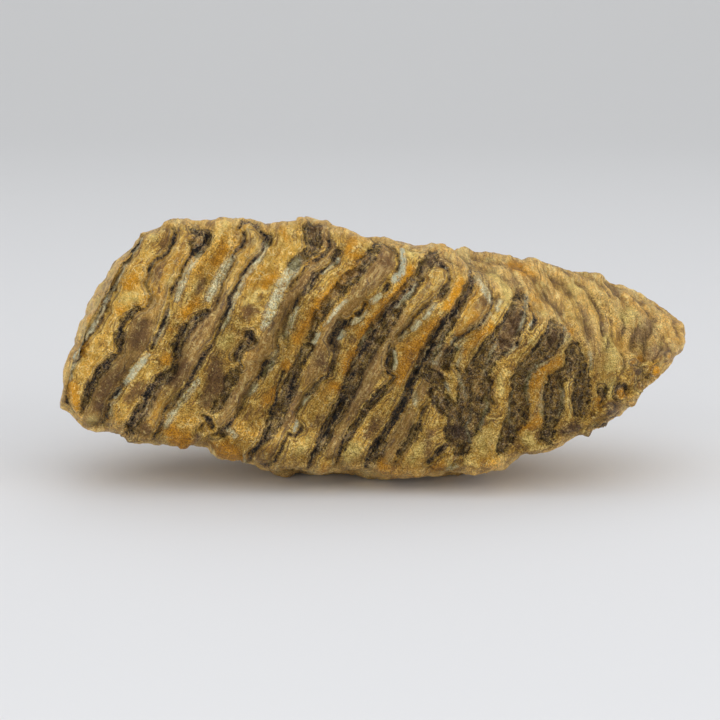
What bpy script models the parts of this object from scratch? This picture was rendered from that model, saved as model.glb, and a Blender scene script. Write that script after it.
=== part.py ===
# Fossil mammoth molar lying on its side, worn face to the front (-Y), row of plates along X.
# Metres, +Z up, origin on the ground under the middle of the tooth. It is one solid, as it grew.
import math

import bmesh
import bpy
import numpy as np
from mathutils import Matrix, Vector, noise

LENGTH = 0.185  # over all, along the row of plates
GRID_LENGTH = 638.0  # the same length on the squares of the outline drawing below
SQUARE = LENGTH / GRID_LENGTH
GRID_MIDDLE = 373.5  # drawing x of the middle of the tooth

FACE_TILT = math.radians(6.0)  # the worn face leans back by this much
REST_DEPTH = 0.0018  # how far the belly is rubbed down to the flat it rests on

# The enamel edges of the plates on the worn face, left to right, in drawing squares. Odd and even
# edges pair up as the two sides of one plate, with cement between one pair and the next.
# Each row: foot x, foot height, head x, head height, sideways bow, crown x, crown height.
# The head is where the edge leaves the worn face, the crown where it passes over the top.
ENAMEL_EDGES = (
    (58, 71, 143, 255, -12, 143, 255),
    (80, 51, 172, 267, -3, 172, 267),
    (103, 46, 198, 267, 10, 198, 267),
    (124, 36, 242, 269, 4, 242, 269),
    (155, 29, 266, 267, 8, 266, 267),
    (205, 30, 306, 275, -6, 306, 275),
    (224, 21, 331, 264, 6, 331, 264),
    (262, 6, 371, 254, -12, 370, 254),
    (277, 6, 390, 251, 1, 388, 251),
    (305, 4, 425, 244, -2, 421, 244),
    (335, 5, 447, 233, -2, 438, 241),
    (360, 4, 475, 216, 0, 459, 235),
    (392, 1, 494, 199, 2, 474, 231),
    (425, -2, 520, 189, -3, 490, 228),
    (452, 1, 534, 182, 1, 507, 226),
    (488, 5, 554, 166, -8, 525, 223),
    (512, 13, 566, 156, -8, 543, 220),
    (538, 22, 577, 139, 0, 560, 214),
    (558, 31, 592, 132, 6, 577, 209),
    (581, 41, 606, 124, 3, 594, 206),
    (604, 50, 625, 120, 2, 612, 202),
    (624, 63, 646, 124, 4, 633, 190),
    (645, 79, 666, 130, 5, 655, 176),
    (667, 98, 682, 134, 3, 676, 162),
)
LEFT_END = (92, 160)  # middle of the broken left end
LEFT_END_DEPTH = 0.027
LEFT_BULGE = -0.0030
RIGHT_END = (671, 138)  # middle of the last slice, inside the rounded tip
RIGHT_END_DEPTH = 0.035
RIGHT_BULGE = 0.0056

# Depth of the tooth behind the worn face at a few places along the row: edge number, front, back.
DEPTHS = (
    (0.0, 0.0010, 0.0560),
    (4.0, 0.0000, 0.0680),
    (10.0, 0.0000, 0.0760),
    (15.0, 0.0004, 0.0740),
    (18.0, 0.0030, 0.0690),
    (20.0, 0.0070, 0.0630),
    (22.0, 0.0140, 0.0560),
    (23.0, 0.0190, 0.0510),
)

ROLL_DEPTH = 0.024  # how far back the crown of the top side lies
FULL_ROLL = 30.0  # where the crown is this much higher than the head, the fall starts behind the crown
EARLY_FALL = 0.2  # and where it isn't higher, the fall starts at this share of that depth
TOP_FALL = 0.30  # fall of the top side towards the roots, per length of depth
FULL_THICKNESS = 0.065  # a thinner slice, near the tip, falls less
BELLY_LEVEL = -0.0055  # level line that the middle of the underside comes down to
BELLY_PLACES = (6.0, 8.5, 14.0, 17.0)  # the belly fades in, stays full and fades out along the row
BELLY_SHARES = (0.20, 0.48, 0.64, 0.94)  # and from the worn face to the roots
ROOT_RISE = 0.013  # rise of the underside at the root edge, from the middle of the depth on
LEAN = 0.26  # slant of the right-hand plates towards the left end, per length of depth
LEAN_FROM = 2.0  # the slant grows from this edge on, over this many edges
LEAN_OVER = 18.0
FRONT_POWER = 7.0  # squareness of a slice towards the worn face and towards the roots
BACK_POWER = 2.8
SIDE_POWER = 5.0

STEPS = (0.0, 0.2, 0.5, 0.8)  # slices between one enamel edge and the next
POINTS_ROUND = 44  # points round one slice
FINE_POINTS = 1440  # for measuring along the outline of a slice
END_RINGS = (0.9, 0.72, 0.48, 0.24)  # smaller copies of the end slice that close each end
DOME_POWER = 3  # how squarely they bulge

FIRST_PLATE = 1.5  # the middle of the first plate lies between edges 1 and 2
RIB_HEIGHTS = (0.0012, 0.0006)  # the plates stand out from the cement on the sides, left and right
RIB_CHANGE = (7.0, 15.0)  # edges between which the one height goes over into the other
GROOVE_DEPTH = 0.0008  # at each enamel edge on the worn face
GROOVE_REACH = 0.14  # to either side of the edge, per distance from one edge to the next
ENAMEL_HEIGHT = 0.0003
ENAMEL_PLACE = 0.2  # the raised enamel beside the groove, and how far it reaches
ENAMEL_REACH = 0.15
LUMPS = ((0.0150, 0.0011), (0.0060, 0.0006))  # size across and height of the lumps on the sides
FACE_LUMPS = 0.35  # share of the lumps that the worn face keeps
ROOT_LUMPS = 1.7  # the root side is rougher than the sides
FACE_TURN = (0.55, 0.90)  # how far a surface turns to the front before it counts as worn face
ROOT_TURN = (0.30, 0.80)  # to the back, as root side
END_TURN = (0.75, 0.95)  # and to the left or right, as end


def ease(t):
    t = min(max(t, 0.0), 1.0)
    return t * t * (3.0 - 2.0 * t)


def mix(a, b, t):
    return a + (b - a) * t


def fade(value, limits):
    """0 below the first limit, 1 above the second."""
    return ease((value - limits[0]) / (limits[1] - limits[0]))


def edge_at(place):
    """The seven drawing values at any place along the row of edges."""
    index = min(int(place), len(ENAMEL_EDGES) - 2)
    share = place - index
    return [mix(a, b, share) for a, b in zip(ENAMEL_EDGES[index], ENAMEL_EDGES[index + 1])]


def depths_at(place):
    for (start, *first), (end, *second) in zip(DEPTHS, DEPTHS[1:]):
        if place <= end:
            share = (place - start) / (end - start)
            return [mix(a, b, share) for a, b in zip(first, second)]
    return list(DEPTHS[-1][1:])


def signed_power(value, power):
    return math.copysign(abs(value) ** (2.0 / power), value)


def top_height(edge, inward, thickness):
    """Height of the top side, this far in from the worn face: up over the roll, then down to the roots."""
    rolled = ease(inward / ROLL_DEPTH)
    start = ROLL_DEPTH * mix(EARLY_FALL, 1.0, ease((edge[6] - edge[3]) / FULL_ROLL))
    fall = TOP_FALL * max(inward - start, 0.0) * min(thickness / FULL_THICKNESS, 1.0)
    return mix(edge[3], edge[6], rolled) * SQUARE - fall


def hump(value, limits):
    """Fades in between the first two limits and out between the last two."""
    return fade(value, limits[:2]) * (1.0 - fade(value, limits[2:]))


def under_height(edge, place, inward, thickness):
    """Height of the underside, which comes down to one level line in the middle of the belly."""
    share = inward / thickness
    belly = hump(place, BELLY_PLACES) * hump(share, BELLY_SHARES)
    level = BELLY_LEVEL + inward * math.tan(FACE_TILT)
    rise = ROOT_RISE * ease((share - 0.5) / 0.5) ** 2
    return mix(edge[1] * SQUARE, level, belly) + rise


def unit_outline(angle):
    """A rounded square: how far in and how far up, each 0 to 1, squarer towards the worn face."""
    across = math.cos(angle)
    inward = signed_power(across, FRONT_POWER if across < 0.0 else BACK_POWER)
    return (inward + 1.0) / 2.0, (signed_power(math.sin(angle), SIDE_POWER) + 1.0) / 2.0


def even_outline():
    """Points evenly spaced round the rounded square, from the middle of the worn face down and round."""
    angles = [math.pi + 2.0 * math.pi * i / FINE_POINTS for i in range(FINE_POINTS + 1)]
    fine = [unit_outline(angle) for angle in angles]
    lengths = [0.0]
    for first, second in zip(fine, fine[1:]):
        lengths.append(lengths[-1] + math.dist(first, second))
    wanted = [lengths[-1] * i / POINTS_ROUND for i in range(POINTS_ROUND)]
    return [unit_outline(angle) for angle in np.interp(wanted, lengths, angles)]


def slice_point(place, inward_share, rise):
    """A point of the slice at this place: x along the row, depth behind the face, height on the face."""
    edge = edge_at(place)
    front, back = depths_at(place)
    thickness = back - front
    inward = thickness * inward_share
    under = under_height(edge, place, inward, thickness)
    height = mix(under, top_height(edge, inward, thickness), rise)
    drawn_x = mix(edge[0], edge[2], rise) + 4.0 * edge[4] * rise * (1.0 - rise)
    drawn_x += (edge[5] - edge[2]) * ease(inward / ROLL_DEPTH) * rise
    lean = LEAN * ease((place - LEAN_FROM) / LEAN_OVER) * max(inward - ROLL_DEPTH, 0.0)
    return Vector(((drawn_x - GRID_MIDDLE) * SQUARE - lean, front + inward, height))


def slice_places():
    last = len(ENAMEL_EDGES) - 1
    return [index + step for index in range(last) for step in STEPS] + [float(last)]


def end_rings(ring, drawn, depth, bulge):
    """Smaller copies of an end slice, domed outwards, and the point that closes them."""
    middle = Vector(((drawn[0] - GRID_MIDDLE) * SQUARE, depth, drawn[1] * SQUARE))
    rings = []
    for scale in END_RINGS:
        outward = Vector((bulge * (1.0 - scale**DOME_POWER), 0.0, 0.0))
        rings.append([middle + (point - middle) * scale + outward for point in ring])
    return rings, middle + Vector((bulge, 0.0, 0.0))


def tooth_rings():
    """All the rings from the left end to the right tip, each with its place along the row."""
    places = slice_places()
    outline = even_outline()
    rings = [(place, [slice_point(place, *unit) for unit in outline]) for place in places]
    left, left_pole = end_rings(rings[0][1], LEFT_END, LEFT_END_DEPTH, LEFT_BULGE)
    right, right_pole = end_rings(rings[-1][1], RIGHT_END, RIGHT_END_DEPTH, RIGHT_BULGE)
    before = [(places[0], ring) for ring in reversed(left)]
    after = [(places[-1], ring) for ring in right]
    return before + rings + after, (left_pole, right_pole)


def build_skin(bm):
    """Joins the rings with quads and each end ring to its pole. Returns each vertex's place."""
    rings, poles = tooth_rings()
    rows = [[bm.verts.new(point) for point in ring] for _, ring in rings]
    places = {vert: place for row, (place, _) in zip(rows, rings) for vert in row}
    for row, following in zip(rows, rows[1:]):
        for i in range(POINTS_ROUND):
            j = (i + 1) % POINTS_ROUND
            bm.faces.new((row[i], row[j], following[j], following[i]))
    for pole, row, place in ((poles[0], rows[0], 0.0), (poles[1], rows[-1], rings[-1][0])):
        vert = bm.verts.new(pole)
        places[vert] = place
        for i in range(POINTS_ROUND):
            bm.faces.new((row[i], row[(i + 1) % POINTS_ROUND], vert))
    bmesh.ops.recalc_face_normals(bm, faces=bm.faces)
    return places


def rib_height(place, normal):
    """The plates stand out as ribs where they reach the sides, but not on the two ends."""
    height = mix(*RIB_HEIGHTS, fade(place, RIB_CHANGE)) * (1.0 - fade(abs(normal.x), END_TURN))
    return height * math.cos(math.pi * (place - FIRST_PLATE))


def edge_height(place):
    """A groove along each enamel edge of the worn face, with raised enamel on both sides of it."""
    beside = abs(place - round(place))
    groove = -GROOVE_DEPTH * ease(1.0 - beside / GROOVE_REACH)
    return groove + ENAMEL_HEIGHT * ease(1.0 - abs(beside - ENAMEL_PLACE) / ENAMEL_REACH)


def relief(place, point, normal):
    """How far the skin stands out here: ribs and lumps on the sides, grooves on the worn face."""
    on_face = fade(-normal.y, FACE_TURN)
    lumps = sum(2.0 * height * noise.noise(point / size) for size, height in LUMPS)
    lumps *= mix(mix(1.0, ROOT_LUMPS, fade(normal.y, ROOT_TURN)), FACE_LUMPS, on_face)
    return mix(rib_height(place, normal), edge_height(place), on_face) + lumps


def raise_relief(bm, places):
    bm.normal_update()
    moves = {v: v.normal * relief(places[v], v.co, v.normal) for v in bm.verts}
    for vert, move in moves.items():
        vert.co += move


def lay_down(bm):
    """Leans the face back, sets the belly on the ground, rubs it flat, and centres the tooth."""
    bmesh.ops.rotate(bm, verts=bm.verts, matrix=Matrix.Rotation(-FACE_TILT, 3, "X"))
    lowest = min(v.co.z for v in bm.verts) + REST_DEPTH
    middle = [(min(v.co[i] for v in bm.verts) + max(v.co[i] for v in bm.verts)) / 2 for i in (0, 1)]
    for vert in bm.verts:
        vert.co -= Vector((*middle, lowest))
        vert.co.z = max(vert.co.z, 0.0)


def fossil_material():
    material = bpy.data.materials.new("varnished_fossil_tooth")
    material.use_nodes = True
    shader = material.node_tree.nodes["Principled BSDF"]
    shader.inputs["Base Color"].default_value = (0.36, 0.20, 0.05, 1.0)
    shader.inputs["Roughness"].default_value = 0.35
    shader.inputs["Metallic"].default_value = 0.0
    return material


def build_tooth():
    bm = bmesh.new()
    places = build_skin(bm)
    raise_relief(bm, places)
    lay_down(bm)
    bmesh.ops.triangulate(bm, faces=bm.faces)
    mesh = bpy.data.meshes.new("tooth")
    bm.to_mesh(mesh)
    bm.free()
    mesh.shade_smooth()
    mesh.materials.append(fossil_material())
    tooth = bpy.data.objects.new("tooth", mesh)
    bpy.context.scene.collection.objects.link(tooth)


for leftover in list(bpy.data.objects):
    bpy.data.objects.remove(leftover)
build_tooth()
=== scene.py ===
import math
from functools import partial

import bpy
import numpy as np
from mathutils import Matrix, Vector, noise


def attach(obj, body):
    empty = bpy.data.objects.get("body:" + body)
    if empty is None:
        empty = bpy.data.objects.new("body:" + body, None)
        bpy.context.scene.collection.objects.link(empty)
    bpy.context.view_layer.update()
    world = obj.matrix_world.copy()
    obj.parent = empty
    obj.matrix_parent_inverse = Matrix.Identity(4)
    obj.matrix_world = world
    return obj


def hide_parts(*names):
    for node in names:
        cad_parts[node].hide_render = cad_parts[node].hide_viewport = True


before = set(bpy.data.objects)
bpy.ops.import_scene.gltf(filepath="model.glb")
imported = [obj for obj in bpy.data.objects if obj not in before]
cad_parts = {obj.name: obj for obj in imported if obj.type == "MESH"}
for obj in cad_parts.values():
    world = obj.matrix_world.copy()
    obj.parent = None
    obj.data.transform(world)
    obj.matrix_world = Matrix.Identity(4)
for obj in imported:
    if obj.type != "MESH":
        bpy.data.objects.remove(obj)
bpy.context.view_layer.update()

# the tooth's shape, the same numbers as its solid

toothShape = {
    "length": 0.185,  # over all, along the row of plates
    "gridLength": 638.0,  # the same length on the squares of the drawing
    "gridMiddle": 373.5,
    "faceTilt": math.radians(6.0),  # the worn face leans back by this much
    "restShift": (0.000994, 0.041238, -0.005347),  # from the drawing's zero to the ground under the middle
    "rollDepth": 0.024,
    "fullRoll": 30.0,
    "earlyFall": 0.2,
    "topFall": 0.30,
    "fullThickness": 0.065,
    "bellyLevel": -0.0055,
    "bellyPlaces": (6.0, 8.5, 14.0, 17.0),
    "bellyShares": (0.20, 0.48, 0.64, 0.94),
    "rootRise": 0.013,
    "lean": 0.26,
    "leanFrom": 2.0,
    "leanOver": 18.0,
    "frontPower": 7.0,
    "backPower": 2.8,
    "sidePower": 5.0,
    "leftEnd": (92, 160, 0.027, -0.0030),  # drawing x and height, depth, bulge
    "rightEnd": (671, 138, 0.035, 0.0034),
    "ribHeights": (0.0012, 0.0006),
    "ribChange": (7.0, 15.0),
    "lumps": ((0.0150, 0.0011), (0.0060, 0.0006)),  # size across, height
    "faceLumps": 0.35,
    "rootLumps": 1.7,
}
square = toothShape["length"] / toothShape["gridLength"]

# foot x, foot height, head x, head height, sideways bow, crown x, crown height
enamelEdges = np.array((
    (58, 71, 143, 255, -12, 143, 255),
    (80, 51, 172, 267, -3, 172, 267),
    (103, 46, 198, 267, 10, 198, 267),
    (124, 36, 242, 269, 4, 242, 269),
    (155, 29, 266, 267, 8, 266, 267),
    (205, 30, 306, 275, -6, 306, 275),
    (224, 21, 331, 264, 6, 331, 264),
    (262, 6, 371, 254, -12, 370, 254),
    (277, 6, 390, 251, 1, 388, 251),
    (305, 4, 425, 244, -2, 421, 244),
    (335, 5, 447, 233, -2, 438, 241),
    (360, 4, 475, 216, 0, 459, 235),
    (392, 1, 494, 199, 2, 474, 231),
    (425, -2, 520, 189, -3, 490, 228),
    (452, 1, 534, 182, 1, 507, 226),
    (488, 5, 554, 166, -8, 525, 223),
    (512, 13, 566, 156, -8, 543, 220),
    (538, 22, 577, 139, 0, 560, 214),
    (558, 31, 592, 132, 6, 577, 209),
    (581, 41, 606, 124, 3, 594, 206),
    (604, 50, 625, 120, 2, 612, 202),
    (624, 63, 646, 124, 4, 633, 190),
    (645, 79, 666, 130, 5, 655, 176),
    (667, 98, 682, 134, 3, 676, 162),
), float)
depths = np.array((  # edge number, front, back
    (0.0, 0.0010, 0.0560),
    (4.0, 0.0000, 0.0680),
    (10.0, 0.0000, 0.0760),
    (15.0, 0.0004, 0.0740),
    (18.0, 0.0030, 0.0690),
    (20.0, 0.0070, 0.0630),
    (22.0, 0.0140, 0.0560),
    (23.0, 0.0190, 0.0510),
))

skinMesh = {
    "rings": 336,  # slices along the row
    "capRings": 16,  # on each end
    "pointsRound": 260,
    "faceDensity": 4.1,  # points lie this much closer on the worn face than on the other sides
    "facePart": 0.10,  # the part of the depth that counts as worn face
    "outlineSteps": 6001,
    "capTaper": (0.35, 1.15),  # how the rings of an end close: rest of the last ring, and power
}


def ease(t):
    t = np.clip(t, 0.0, 1.0)
    return t * t * (3.0 - 2.0 * t)


def fade(value, low, high):
    return ease((value - low) / (high - low))


def mix(a, b, t):
    return a + (b - a) * t


def edgeAt(place):
    index = np.minimum(place.astype(int), len(enamelEdges) - 2)
    share = (place - index)[..., None]
    return np.moveaxis(mix(enamelEdges[index], enamelEdges[index + 1], share), -1, 0)


def depthsAt(place):
    return (np.interp(place, depths[:, 0], depths[:, column]) for column in (1, 2))


def topHeight(edge, inward, thickness):
    shape = toothShape
    rolled = ease(inward / shape["rollDepth"])
    start = shape["rollDepth"] * mix(shape["earlyFall"], 1.0, ease((edge[6] - edge[3]) / shape["fullRoll"]))
    fall = shape["topFall"] * np.maximum(inward - start, 0.0) * np.minimum(thickness / shape["fullThickness"], 1.0)
    return mix(edge[3], edge[6], rolled) * square - fall


def hump(value, limits):
    return fade(value, limits[0], limits[1]) * (1.0 - fade(value, limits[2], limits[3]))


def underHeight(edge, place, inward, thickness):
    shape = toothShape
    share = inward / thickness
    belly = hump(place, shape["bellyPlaces"]) * hump(share, shape["bellyShares"])
    level = shape["bellyLevel"] + inward * math.tan(shape["faceTilt"])
    return mix(edge[1] * square, level, belly) + shape["rootRise"] * ease((share - 0.5) / 0.5) ** 2


def unitOutline(angle):
    shape = toothShape
    across, up = np.cos(angle), np.sin(angle)
    power = np.where(across < 0.0, shape["frontPower"], shape["backPower"])
    inward = np.sign(across) * np.abs(across) ** (2.0 / power)
    rise = np.sign(up) * np.abs(up) ** (2.0 / shape["sidePower"])
    return (inward + 1.0) / 2.0, (rise + 1.0) / 2.0


def closeOutline():  # points round one slice, closer together on the worn face
    angles = np.linspace(math.pi, 3.0 * math.pi, skinMesh["outlineSteps"])
    inward, rise = unitOutline(angles)
    density = np.where(inward < skinMesh["facePart"], skinMesh["faceDensity"], 1.0)
    steps = np.hypot(np.diff(inward), np.diff(rise)) * density[1:]
    lengths = np.concatenate(([0.0], np.cumsum(steps)))
    wanted = lengths[-1] * np.arange(skinMesh["pointsRound"]) / skinMesh["pointsRound"]
    return unitOutline(np.interp(wanted, lengths, angles))


def slicePoints(place, inwardShare, rise):
    shape = toothShape
    edge = edgeAt(place)
    front, back = depthsAt(place)
    thickness = back - front
    inward = thickness * inwardShare
    under = underHeight(edge, place, inward, thickness)
    height = mix(under, topHeight(edge, inward, thickness), rise)
    drawnX = mix(edge[0], edge[2], rise) + 4.0 * edge[4] * rise * (1.0 - rise)
    drawnX += (edge[5] - edge[2]) * ease(inward / shape["rollDepth"]) * rise
    lean = shape["lean"] * ease((place - shape["leanFrom"]) / shape["leanOver"])
    x = (drawnX - shape["gridMiddle"]) * square - lean * np.maximum(inward - shape["rollDepth"], 0.0)
    return np.stack((x, front + inward, height), -1)


def toothRings():  # every ring of points and its place along the row of enamel edges
    middles = (enamelEdges[:, 0] + enamelEdges[:, 2]) / 2.0
    places = np.interp(np.linspace(middles[0], middles[-1], skinMesh["rings"]), middles, np.arange(len(middles)))
    inwardShare, rise = closeOutline()
    grid = np.broadcast_arrays(places[:, None], inwardShare[None], rise[None])
    rings = slicePoints(*grid)
    count, (rest, power) = skinMesh["capRings"], skinMesh["capTaper"]
    scales = 1.0 - (np.arange(1, count + 1) / (count + rest)) ** power
    caps = []
    for ring, (x, height, depth, bulge) in ((rings[0], toothShape["leftEnd"]), (rings[-1], toothShape["rightEnd"])):
        middle = np.array(((x - toothShape["gridMiddle"]) * square, depth, height * square))
        outward = np.array((1.0, 0.0, 0.0)) * bulge * (1.0 - scales**3)[:, None]
        shrunk = middle + (ring - middle) * scales[:, None, None] + outward[:, None, :]
        caps.append((shrunk, middle + (bulge, 0.0, 0.0)))
    (left, leftPole), (right, rightPole) = caps
    allRings = np.concatenate((left[::-1], rings, right))
    lastPlace = float(len(enamelEdges) - 1)
    ringPlaces = np.concatenate((np.zeros(len(left)), places, np.full(len(right), lastPlace)))
    poles = np.array((leftPole, rightPole))
    return allRings, ringPlaces, poles, lastPlace


def toothSkin():  # a closed mesh, and each point's place
    rings, ringPlaces, poles, lastPlace = toothRings()
    count, around = rings.shape[:2]
    points = np.concatenate((rings.reshape(-1, 3), poles))
    places = np.concatenate((np.repeat(ringPlaces, around), (0.0, lastPlace)))
    i, j = np.meshgrid(np.arange(count - 1), np.arange(around), indexing="ij")
    k = (j + 1) % around
    quads = np.stack((i * around + j, i * around + k, (i + 1) * around + k, (i + 1) * around + j), -1)
    j = np.arange(around)
    k = (j + 1) % around
    first, last = count * around, (count - 1) * around
    leftFan = np.stack((k, j, np.full(around, first)), -1)
    rightFan = np.stack((last + j, last + k, np.full(around, first + 1)), -1)
    mesh = bpy.data.meshes.new("tooth_skin")
    mesh.from_pydata(points.tolist(), [], quads.reshape(-1, 4).tolist() + leftFan.tolist() + rightFan.tolist())
    mesh.update()
    return mesh, points, places


def meshNormals(mesh):
    values = np.empty(len(mesh.vertices) * 3)
    mesh.vertex_normals.foreach_get("vector", values)
    return values.reshape(-1, 3)


def leanBack(vectors):
    tilt = toothShape["faceTilt"]
    turned = vectors.copy()
    turned[:, 1] = vectors[:, 1] * math.cos(tilt) + vectors[:, 2] * math.sin(tilt)
    turned[:, 2] = vectors[:, 2] * math.cos(tilt) - vectors[:, 1] * math.sin(tilt)
    return turned


def layDown(points):  # leans the face back and sets the belly on the ground
    laid = leanBack(points) - np.array(toothShape["restShift"])
    laid[:, 2] = np.maximum(laid[:, 2], 0.0)
    return laid


def placed(name, data):  # a new object in the scene
    made = bpy.data.objects.new(name, data)
    bpy.context.scene.collection.objects.link(made)
    return made


# the camera, and where each point of the skin lies in its frame

viewpoint = {
    "target": (-0.004908, -0.037480, 0.041106),
    "elevation": math.radians(12.0),
    "distance": 0.8,
    "sensorWidth": 36.0,
    "frameSize": 720,  # the frame is square, and one of its squares is one drawing square wide at the target
}


def cameraFrame():
    up = viewpoint["elevation"]
    backwards = np.array((0.0, -math.cos(up), math.sin(up)))
    upwards = np.array((0.0, math.sin(up), math.cos(up)))
    place = np.array(viewpoint["target"]) + backwards * viewpoint["distance"]
    return place, backwards, upwards


def framePlaces(points):  # x to the right and y down, in squares of the frame
    place, backwards, upwards = cameraFrame()
    offsets = points - place
    away = -(offsets @ backwards)
    scale = viewpoint["distance"] / square / away
    half = viewpoint["frameSize"] / 2.0
    return half + offsets[:, 0] * scale, half - (offsets @ upwards) * scale


def addCamera():
    place, backwards, _ = cameraFrame()
    data = bpy.data.cameras.new("camera")
    data.sensor_width = viewpoint["sensorWidth"]
    data.lens = viewpoint["sensorWidth"] * viewpoint["distance"] / (viewpoint["frameSize"] * square)
    camera = placed("camera", data)
    camera.location = place
    camera.rotation_euler = Vector(-backwards).to_track_quat("-Z", "Y").to_euler()
    bpy.context.scene.camera = camera


# what is seen of the tooth, as strokes: x, y and half width of each point in turn, in squares of the frame

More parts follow.
